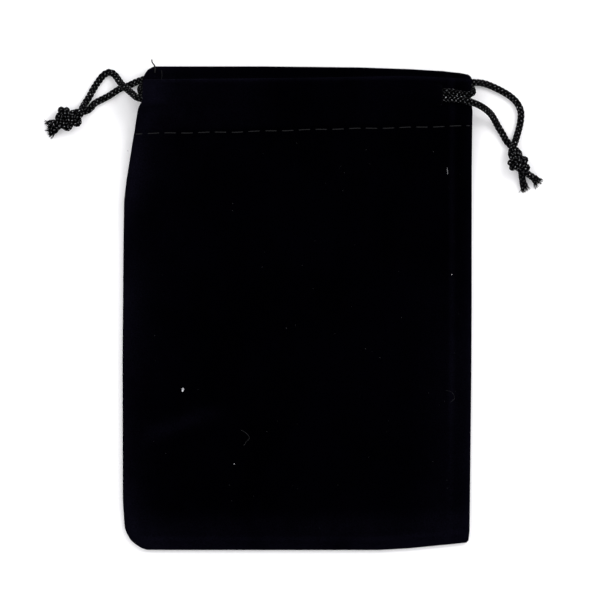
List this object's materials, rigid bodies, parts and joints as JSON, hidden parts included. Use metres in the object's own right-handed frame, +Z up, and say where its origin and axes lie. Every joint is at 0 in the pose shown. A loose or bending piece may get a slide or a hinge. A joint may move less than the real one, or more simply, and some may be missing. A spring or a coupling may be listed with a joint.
{
  "type": "drawstring pouch",
  "caption": "Small flat black velvet drawstring bag for dice, lying empty, with a stitched casing and knotted cords out at each side.",
  "frame": {"origin": "on the surface that the bag lies on, under the middle of the cloth bag without its cords", "axes": "+Z up out of the front panel, +Y from the sewn bottom towards the mouth, +X towards the right-hand side seam"},
  "size_m": [0.1434, 0.1426, 0.0136],
  "materials": {
    "velvet": "short black velvet pile, matt, with a violet sheen at grazing angles",
    "braided_cord": "round braid of black polyester yarn, slightly shiny",
    "thread": "fine black sewing thread, slightly shiny"
  },
  "bodies": {
    "pouch": {"front_panel": "velvet", "back_panel": "velvet", "front_casing": "velvet", "back_casing": "velvet", "front_casing_stitching": "thread", "back_casing_stitching": "thread", "side_seam_stitching": "thread", "bottom_seam_stitching": "thread"},
    "left_drawstring": {"left_cord_front": "braided_cord", "left_cord_run": "braided_cord", "left_cord_back": "braided_cord", "left_knot": "braided_cord", "left_cord_tails": "braided_cord"},
    "right_drawstring": {"right_cord_front": "braided_cord", "right_cord_run": "braided_cord", "right_cord_back": "braided_cord", "right_knot": "braided_cord", "right_cord_tails": "braided_cord"},
    "left_corner": {"left_casing_end": "velvet"},
    "right_corner": {"right_casing_end": "velvet"}
  },
  "joints": [
    {"name": "left_pull", "type": "slide", "parent": "pouch", "child": "left_drawstring", "axis": [-1, 0, 0], "range_m": [0, 0.018], "deforming": ["front_casing", "back_casing", "front_panel", "back_panel", "front_casing_stitching", "back_casing_stitching", "side_seam_stitching", "bottom_seam_stitching"]},
    {"name": "right_pull", "type": "slide", "parent": "pouch", "child": "right_drawstring", "axis": [1, 0, 0], "range_m": [0, 0.018], "deforming": ["front_casing", "back_casing", "front_panel", "back_panel", "front_casing_stitching", "back_casing_stitching", "side_seam_stitching", "bottom_seam_stitching"]},
    {"name": "right_corner_in", "type": "slide", "parent": "pouch", "child": "right_corner", "axis": [-1, 0, 0], "range_m": [0, 0.018], "deforming": ["front_casing", "back_casing", "front_panel", "back_panel", "front_casing_stitching", "back_casing_stitching", "side_seam_stitching", "bottom_seam_stitching"]},
    {"name": "left_corner_in", "type": "slide", "parent": "pouch", "child": "left_corner", "axis": [1, 0, 0], "range_m": [0, 0.018], "deforming": ["front_casing", "back_casing", "front_panel", "back_panel", "front_casing_stitching", "back_casing_stitching", "side_seam_stitching", "bottom_seam_stitching"]}
  ],
  "couplings": [
    {"joint": "right_corner_in", "follows": "left_pull", "ratio": 1},
    {"joint": "left_corner_in", "follows": "right_pull", "ratio": 1}
  ]
}
